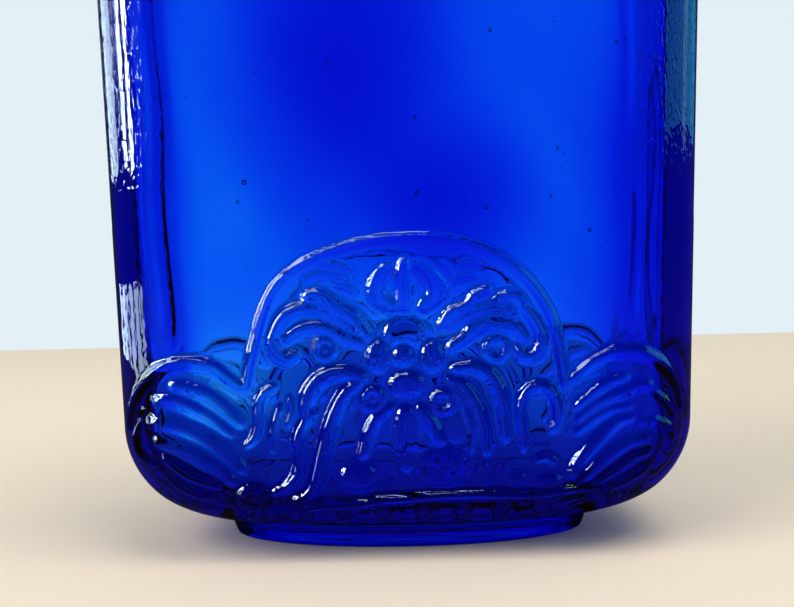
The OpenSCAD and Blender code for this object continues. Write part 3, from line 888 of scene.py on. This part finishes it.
def lined(a, b, step):
    """Points from a to b, at most a step apart, without the last."""
    count = max(1, round(math.dist(a, b) / step))
    return [tuple(mix(a[i], b[i], k / count) for i in (0, 1)) for k in range(count)]


def cork_profile():
    corners = [
        (HOLE_R, CORK_Z - SLEEVE_L), (CORK_R - CORK_CHAMFER, CORK_Z - SLEEVE_L),
        (CORK_R, CORK_Z - SLEEVE_L + CORK_CHAMFER), (CORK_R, CORK_Z), (RIM_R - RIM_EDGE, CORK_Z),
        (RIM_R, CORK_Z + RIM_EDGE), (RIM_R, CORK_Z + RIM_T - RIM_EDGE),
        (RIM_R - RIM_EDGE, CORK_Z + RIM_T), (HOLE_R, CORK_Z + RIM_T),
    ]
    return [p for a, b in zip(corners, corners[1:] + corners[:1]) for p in lined(a, b, CORK_STEP)]


shell_cork = turned("shell_cork", cork_profile(), CORK_SIDES)
select_open_edges(shell_cork)
bpy.ops.mesh.bridge_edge_loops()
bpy.ops.object.mode_set(mode="OBJECT")
finish_turned(shell_cork)

pores = bpy.data.textures.new("cork_pores", "CLOUDS")
pores.noise_scale = PORE_REACH * MM
pores.noise_depth = 3
pores.contrast = 3.0    # a bright texture with a high contrast is white between the pores,
pores.intensity = 1.25  # and where it is white, the skin stays where it is
press = shell_cork.modifiers.new("pores", "DISPLACE")
press.texture = pores
press.texture_coords = "LOCAL"
press.mid_level = 1.0
press.strength = PORE_DEPTH * MM
select_only(shell_cork)
bpy.ops.object.modifier_apply(modifier="pores")
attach(shell_cork, "cork")
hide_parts("cork_sleeve")
print("shell cork:", len(shell_cork.data.polygons), "faces")

# %% [markdown]
# ## Glass stopper
# The stopper is pressed from one gob of the same blue glass: a plain peg that the cork grips, a
# flange that sits on the cork, a waist, and a flat head to hold. It is turned in the same way,
# and fire polishing has rounded all its edges.

# %% Glass stopper
PEG_L, FLANGE_T, FLANGE_EDGE = 20.0, 1.5, 0.5
WAIST_R, WAIST_H = 6.5, 3.0
HEAD_R, HEAD_T, DOME_H = 13.5, 10.0, 2.0
FLANGE_Z = CORK_Z + RIM_T + SEAT_GAP
HEAD_Z = FLANGE_Z + FLANGE_T + WAIST_H
HEAD_EDGE = HEAD_T / 2
TOP_R = HEAD_R - HEAD_EDGE
DOME_R = (TOP_R ** 2 + DOME_H ** 2) / (2 * DOME_H)
DOME_ANGLE = math.degrees(math.asin(TOP_R / DOME_R))
PEG_EDGE = 0.8
ROOT_ROUND = 0.7  # the small hollow round on either side of the waist
STOPPER_SIDES = 128
TIP_R, TIP_ANGLE = 0.01, 89.9  # how near to the axis its two ends come before they are closed


def stopper_profile():
    peg_low, dome_mid = FLANGE_Z - PEG_L, HEAD_Z + HEAD_T + DOME_H - DOME_R
    waist_low, waist_high = FLANGE_Z + FLANGE_T + ROOT_ROUND, HEAD_Z - ROOT_ROUND
    return (
        [(TIP_R, peg_low), (PEG_R * 0.5, peg_low)]
        + arc(PEG_R - PEG_EDGE, peg_low + PEG_EDGE, PEG_EDGE, -90, 0, 6)
        + [(PEG_R, z) for z in np.linspace(peg_low + 3, FLANGE_Z - 0.6, 5)]
        + [(PEG_R, FLANGE_Z)]
        + arc(RIM_R - FLANGE_EDGE, FLANGE_Z + FLANGE_EDGE, FLANGE_EDGE, -90, 0, 5)
        + arc(RIM_R - FLANGE_EDGE, FLANGE_Z + FLANGE_T - FLANGE_EDGE, FLANGE_EDGE, 0, 90, 5)
        + arc(WAIST_R + ROOT_ROUND, waist_low, ROOT_ROUND, 270, 180, 5)
        + arc(WAIST_R + ROOT_ROUND, waist_high, ROOT_ROUND, 180, 90, 5)
        + arc(TOP_R, HEAD_Z + HEAD_EDGE, HEAD_EDGE, -90, 90, 21)
        + arc(0, dome_mid, DOME_R, 90 - DOME_ANGLE, TIP_ANGLE, 12)[1:]
    )


glass_stopper = turned("glass_stopper_head_and_peg", stopper_profile(), STOPPER_SIDES)
select_open_edges(glass_stopper)
bpy.ops.mesh.edge_collapse()
bpy.ops.object.mode_set(mode="OBJECT")
finish_turned(glass_stopper)
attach(glass_stopper, "stopper")
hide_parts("glass_stopper")
print("stopper:", len(glass_stopper.data.polygons), "faces, top at",
      round(max(v.co.z for v in glass_stopper.data.vertices) / MM, 2), "mm")

# %% [markdown]
# ## Cobalt glass
# A little cobalt oxide turns soda glass this deep blue: it lets blue through, and stops red and
# most green within a few millimetres. So the colour comes from how far light goes through the
# glass, and thick edges turn navy. A clear surface with a volume that absorbs gives that. The
# iron mould leaves a faint orange peel on the skin, which fire polishing softens but doesn't
# remove. It breaks the window's reflection into streaks along the upright edges.

# %% Material helpers
def linear(hex_colour):
    """An sRGB hex value as the linear colour that the shaders take."""
    parts = [int(hex_colour[i:i + 2], 16) / 255 for i in (1, 3, 5)]
    return [p / 12.92 if p <= 0.04045 else ((p + 0.055) / 1.055) ** 2.4 for p in parts] + [1]


def node(tree, kind, settings=None, links=None):
    """Adds a shader node: settings by socket or option name, and links as socket: where from.

    A link may come from an output, or from a node, which then means its first output.
    """
    made = tree.nodes.new("ShaderNode" + kind)
    for key, value in (settings or {}).items():
        if isinstance(key, str) and hasattr(made, key):
            setattr(made, key, value)
        else:
            made.inputs[key].default_value = value
    for socket, source in (links or {}).items():
        output = source if isinstance(source, bpy.types.NodeSocket) else source.outputs[0]
        tree.links.new(output, made.inputs[socket])
    return made


def new_material(name):
    made = bpy.data.materials.new(name)
    made.use_nodes = True
    made.node_tree.nodes.clear()
    return made, made.node_tree


# %% Cobalt glass
COBALT_TINT = "#00cffa"
COBALT_DENSITY = 1200.0  # per metre of glass
GLASS_IOR = 1.52
WAVE_MM, WAVE_DEPTH = 2.4, 0.006     # the orange peel: from one wave to the next, and its depth
GRAIN_MM, GRAIN_DEPTH = 0.45, 0.018  # the grain that the mould gave the upright edges
GRAIN_DRAWN = 0.32                   # a grain is this many times as wide as it is tall
PIT_DEPTH = 0.030                    # the deepest grains are pits, higher up on the edges
PIT_FROM, PIT_TO = 0.36, 0.45        # the grain's values at which a pit begins and ends
PIT_LOW, PIT_HIGH = 58.0, 66.0       # where the pits begin, in mm above the table
EDGE_FROM, EDGE_TO = 37.5, 40.0      # where the edges begin, in mm from the middle
GRAIN_LOW, GRAIN_HIGH = 26.0, 34.0   # and where the grain begins, in mm above the table


def cobalt_glass(name, grained):
    made, tree = new_material(name)
    where = node(tree, "TexCoord").outputs["Object"]
    apart = node(tree, "SeparateXYZ", links={0: where})
    drawn_up = node(tree, "Mapping", {"Scale": (1, 1, GRAIN_DRAWN)}, {"Vector": where})
    waves = node(tree, "TexNoise", {"Scale": 1 / (WAVE_MM * MM), "Detail": 0.0}, {"Vector": where})
    grain = node(tree, "TexNoise", {"Scale": 1 / (GRAIN_MM * MM), "Detail": 0.0},
                 {"Vector": drawn_up})
    pitted = node(tree, "MapRange", {
        "From Min": PIT_LOW * MM, "From Max": PIT_HIGH * MM, "To Max": PIT_DEPTH,
    }, {"Value": apart.outputs["Z"]})
    pits = node(tree, "MapRange", {"From Min": PIT_FROM, "From Max": PIT_TO},
                {"Value": grain.outputs["Fac"], "To Max": pitted})
    rough = node(tree, "Math", {"operation": "MULTIPLY_ADD", 1: GRAIN_DEPTH},
                 {0: grain.outputs["Fac"], 2: pits})
    across = node(tree, "Math", {"operation": "ABSOLUTE"}, {0: apart.outputs["X"]})
    edge = node(tree, "MapRange", {
        "From Min": EDGE_FROM * MM, "From Max": EDGE_TO * MM, "To Max": grained,
    }, {"Value": across})
    upright = node(tree, "MapRange", {
        "From Min": GRAIN_LOW * MM, "From Max": GRAIN_HIGH * MM,
    }, {"Value": apart.outputs["Z"], "To Max": edge})
    grained_edge = node(tree, "Math", {"operation": "MULTIPLY"}, {0: rough, 1: upright})
    height = node(tree, "Math", {"operation": "MULTIPLY_ADD", 1: WAVE_DEPTH},
                  {0: waves.outputs["Fac"], 2: grained_edge})
    peel = node(tree, "Bump", {"Strength": 1.0, "Distance": MM}, {"Height": height})
    skin = node(tree, "BsdfPrincipled", {
        "Base Color": (1, 1, 1, 1), "Roughness": 0.0, "IOR": GLASS_IOR, "Transmission Weight": 1.0,
    }, {"Normal": peel})
    body = node(tree, "VolumeAbsorption", {"Color": linear(COBALT_TINT), "Density": COBALT_DENSITY})
    node(tree, "OutputMaterial", links={"Surface": skin, "Volume": body})
    return made


blown_glass.data.materials.append(cobalt_glass("mould_blown_cobalt_glass", grained=1.0))
glass_stopper.data.materials.append(cobalt_glass("pressed_cobalt_glass", grained=0.0))
print("glass in the scene:", [m.name for m in bpy.data.materials if "glass" in m.name])

# %% [markdown]
# ## Cork
# Natural cork is the bark of the cork oak. It is matt and tan, in cells too fine to see, with
# dark woody pores and paler year bands. The bands run across the tube, because a cork is cut
# with the grain of the bark upright.

# %% Cork
CELL_MM, PORE_MM, BAND_MM = 0.25, 1.6, 3.5
CELL_DEPTH = 0.08
PORE_FROM, PORE_TO = 0.56, 0.66  # the noise's values at which a pore begins and is dark
DARK_TAN, PALE_TAN, PORE_BROWN = "#b58a5c", "#cda577", "#5a3b24"
BAND_UNIT = 0.3  # a band of Blender's wave texture is about this long at a scale of 1
MIX_FACTOR, MIX_A, MIX_B, MIX_RESULT = 0, 6, 7, 2  # the colour sockets of a Mix node


def natural_cork():
    made, tree = new_material("natural_cork")
    where = node(tree, "TexCoord").outputs["Object"]
    cells = node(tree, "TexNoise", {"Scale": 1 / (CELL_MM * MM), "Detail": 3.0}, {"Vector": where})
    bands = node(tree, "TexWave", {
        "bands_direction": "X", "Scale": BAND_UNIT / (BAND_MM * MM), "Distortion": 3.0,
        "Detail": 2.0,
    }, {"Vector": where})
    tan = node(tree, "Mix", {
        "data_type": "RGBA", MIX_A: linear(DARK_TAN), MIX_B: linear(PALE_TAN),
    }, {MIX_FACTOR: bands.outputs["Fac"]})
    speck = node(tree, "TexNoise", {
        "Scale": 1 / (PORE_MM * MM), "Detail": 5.0, "Roughness": 0.65}, {"Vector": where})
    pore = node(tree, "MapRange", {"From Min": PORE_FROM, "From Max": PORE_TO},
                {"Value": speck.outputs["Fac"]})
    colour = node(tree, "Mix", {"data_type": "RGBA", MIX_B: linear(PORE_BROWN)},
                  {MIX_FACTOR: pore, MIX_A: tan.outputs[MIX_RESULT]})
    bump = node(tree, "Bump", {"Strength": 0.6, "Distance": CELL_DEPTH * MM},
                {"Height": cells.outputs["Fac"]})
    skin = node(tree, "BsdfPrincipled", {"Roughness": 0.82, "Specular IOR Level": 0.25},
                {"Base Color": colour.outputs[MIX_RESULT], "Normal": bump})
    node(tree, "OutputMaterial", links={"Surface": skin})
    return made


shell_cork.data.materials.clear()
shell_cork.data.materials.append(natural_cork())
print("cork bands are", BAND_MM, "mm wide")

# %% [markdown]
# ## Stage
# A pale floor ends behind the bottle at a pale wall, which is the world itself: white enough
# behind the glass, and darker in front of it. Glass shows its surroundings and little else, so
# the dark side in front keeps the panel's blue deep, and the pale side behind lights it.

# %% Floor
FLOOR_SIZE, FLOOR_BACK = 4.0, 0.31  # in metres, and how far it reaches behind the bottle
FLOOR_GAP = 0.00005  # so that light which leaves the foot meets the floor
# the first is the floor's own colour, the second a painted dark reflection that the floor shows only
# to mirror rays
FLOOR_PALE, FLOOR_PAINTED_DARK_REFLECTION = "#ece2d3", "#40362c"
FLOOR_GLOW_NEAR_SHADED, FLOOR_GLOW_FAR = "#b8ae9e", "#e8e0d0"  # a painted glow that the floor shows only through the glass, darker near the bottle as painted shade
NEAR_EDGE, FAR_EDGE, ASIDE = 0.03, 0.10, 0.6  # from where to where the painted shade near the bottle turns to the paler far glow
FLOOR_GLOW_STRENGTH = 1.15  # how bright the painted glow is through the glass


def floor_material():
    made, tree = new_material("pale_matt_floor")
    path = node(tree, "LightPath")
    # For mirror rays the floor's colour is a painted dark reflection, so the glass mirrors it dimmer
    # than it is lit
    pale = node(tree, "Mix", {
        "data_type": "RGBA", MIX_A: linear(FLOOR_PALE), MIX_B: linear(FLOOR_PAINTED_DARK_REFLECTION),
    }, {MIX_FACTOR: path.outputs["Is Glossy Ray"]})
    skin = node(tree, "BsdfPrincipled", {"Roughness": 0.9, "Specular IOR Level": 0.0},
                {"Base Color": pale.outputs[MIX_RESULT]})
    # Through the glass the floor shows a painted glow instead of its lit colour: darker near the
    # bottle as painted shade, paler further off
    where = node(tree, "TexCoord")
    apart = node(tree, "SeparateXYZ", links={0: where.outputs["Object"]})
    aside = node(tree, "Math", {"operation": "ABSOLUTE"}, {0: apart.outputs["X"]})
    away = node(tree, "Math", {"operation": "MULTIPLY_ADD", 1: ASIDE},
                {0: aside, 2: apart.outputs["Y"]})
    far = node(tree, "MapRange", {"From Min": NEAR_EDGE, "From Max": FAR_EDGE}, {"Value": away})
    tone = node(tree, "Mix", {
        "data_type": "RGBA", MIX_A: linear(FLOOR_GLOW_NEAR_SHADED), MIX_B: linear(FLOOR_GLOW_FAR),
    }, {MIX_FACTOR: far})
    painted_glow_through_glass = node(tree, "Emission", {"Strength": FLOOR_GLOW_STRENGTH},
                         {"Color": tone.outputs[MIX_RESULT]})
    seen = node(tree, "MixShader", links={
        0: path.outputs["Is Transmission Ray"], 1: skin, 2: painted_glow_through_glass})
    node(tree, "OutputMaterial", links={"Surface": seen})
    return made


bpy.ops.object.select_all(action="DESELECT")
bpy.ops.mesh.primitive_plane_add(
    size=FLOOR_SIZE, location=(0, FLOOR_BACK - FLOOR_SIZE / 2, -FLOOR_GAP))
floor = bpy.context.object
floor.name = "floor"
bpy.ops.object.transform_apply(location=True)
floor.data.materials.append(floor_material())
print("floor ends", FLOOR_BACK, "m behind the bottle")

# %% Pale room
WALL_COLOUR = "#e3f0f5"
ROOM_FRONT = 0.03   # how bright the room is in front of the bottle, where 1 is white
ROOM_BACK = 1.5     # and behind it, through the glass
BRIGHT_SIDE = (-0.15, 0.9, 1.5)  # the room is brightest behind, above the table and on the left
BRIGHT_FROM, BRIGHT_TO = -0.2, 0.55  # how the room brightens towards that side
ROOM_LIGHT = 0.55   # how bright the room is for all that isn't glass


def pale_room():
    world = bpy.data.worlds.new("pale_room")
    bpy.context.scene.world = world
    world.use_nodes = True
    tree = world.node_tree
    tree.nodes.clear()
    path = node(tree, "LightPath")
    where = node(tree, "TexCoord")
    behind = node(tree, "VectorMath", {"operation": "DOT_PRODUCT", 1: BRIGHT_SIDE},
                  {0: where.outputs["Generated"]})
    depth = node(tree, "MapRange", {
        "interpolation_type": "SMOOTHSTEP", "From Min": BRIGHT_FROM, "From Max": BRIGHT_TO,
        "To Min": ROOM_FRONT, "To Max": ROOM_BACK,
    }, {"Value": behind.outputs["Value"]})
    mirrored = node(tree, "MapRange", {"To Min": ROOM_LIGHT, "To Max": ROOM_FRONT},
                    {"Value": path.outputs["Is Glossy Ray"]})
    around = node(tree, "MapRange", links={
        "Value": path.outputs["Is Transmission Ray"], "To Min": mirrored, "To Max": depth})
    strength = node(tree, "MapRange", {"To Max": 1.0},
                    {"Value": path.outputs["Is Camera Ray"], "To Min": around})
    sky = node(tree, "Background", {"Color": linear(WALL_COLOUR)}, {"Strength": strength})
    node(tree, "OutputWorld", links={"Surface": sky})


pale_room()

# %% [markdown]
# ## Lamps
# Panes of a tall window to the left give the thin white lines on the left of each rope and the
# streaks down the left edge. A low, bright sill, broken by its bars, gives the streaked patch
# above the left lobe. Two panes high up give the lines on top of the ropes and on the band, and a
# dim wall with a paler frame colours the right edge. Two soft lamps light the floor and the cork.

# %% Lamps
DAYLIGHT, LAMPLIGHT = "#d8f4ff", "#fff2e0"
WALL_TEAL, FRAME_GREEN = "#2f9a94", "#bfe0ae"


def add_lamp(name, at, look_at, width, height, brightness, colour):
    """A rectangular lamp. Brightness is what it shows in a mirror, where 1 is white."""
    bpy.ops.object.light_add(type="AREA", location=at)
    lamp = bpy.context.object
    lamp.name = name
    lamp.data.shape = "RECTANGLE"
    lamp.data.size, lamp.data.size_y = width, height
    lamp.data.energy = brightness * math.pi * width * height
    lamp.data.color = linear(colour)[:3]
    lamp.rotation_mode = "QUATERNION"
    lamp.rotation_quaternion = (Vector(look_at) - Vector(at)).to_track_quat("-Z", "Y")
    lamp.visible_camera = False
    return lamp


def add_pane(name, at, width, height, brightness, colour=DAYLIGHT, look_at=None):
    """A pane that the glass mirrors, but that lights nothing else. It stands square to the side."""
    lamp = add_lamp(name, at, look_at or (0, *at[1:]), width, height, brightness, colour)
    lamp.visible_diffuse = lamp.visible_transmission = False


def add_soft(name, at, look_at, size, brightness):
    """A soft lamp that lights the floor and the cork, but isn't mirrored."""
    lamp = add_lamp(name, at, look_at, size, size, brightness, LAMPLIGHT)
    lamp.visible_glossy = lamp.visible_transmission = False


# %% Light the bottle
BELLY = (0, 0, 0.03)  # where the high panes point
SILL_X, SILL_Z, SILL_H = -0.26, 0.017, 0.030
SILL_GAPS = [(-0.125, 0.022), (-0.078, 0.044), (-0.020, 0.034), (0.022, 0.014), (0.064, 0.046),
             (0.120, 0.028)]  # the middle and the width of each gap between its bars
add_pane("left_front_pane", (-0.50, -0.225, 0.30), 0.055, 0.42, brightness=52)
add_pane("left_middle_pane", (-0.50, -0.10, 0.30), 0.06, 0.42, brightness=34)
add_pane("left_back_pane", (-0.50, 0.20, 0.30), 0.28, 0.42, brightness=6)
for y, width in SILL_GAPS:
    add_pane("left_sill", (SILL_X, y, SILL_Z), width, SILL_H, brightness=7)
add_pane("high_left_pane", (-0.42, -0.16, 0.62), 0.36, 0.16, brightness=11, look_at=BELLY)
add_pane("ceiling_pane", (-0.15, -0.25, 0.80), 0.50, 0.10, brightness=6, look_at=BELLY)
add_pane("right_wall", (0.50, 0.05, 0.31), 0.8, 0.40, brightness=2.4, colour=WALL_TEAL)
add_pane("right_frame", (0.48, 0.045, 0.29), 0.07, 0.40, brightness=0.9, colour=FRAME_GREEN)
add_soft("soft_left", (-0.60, -0.40, 0.60), (0, 0, 0.05), 0.6, brightness=4.2)
add_soft("soft_top", (0.3, -0.2, 0.9), (0.1, 0, 0), 0.6, brightness=3.9)
bpy.context.scene.view_settings.view_transform = "Standard"
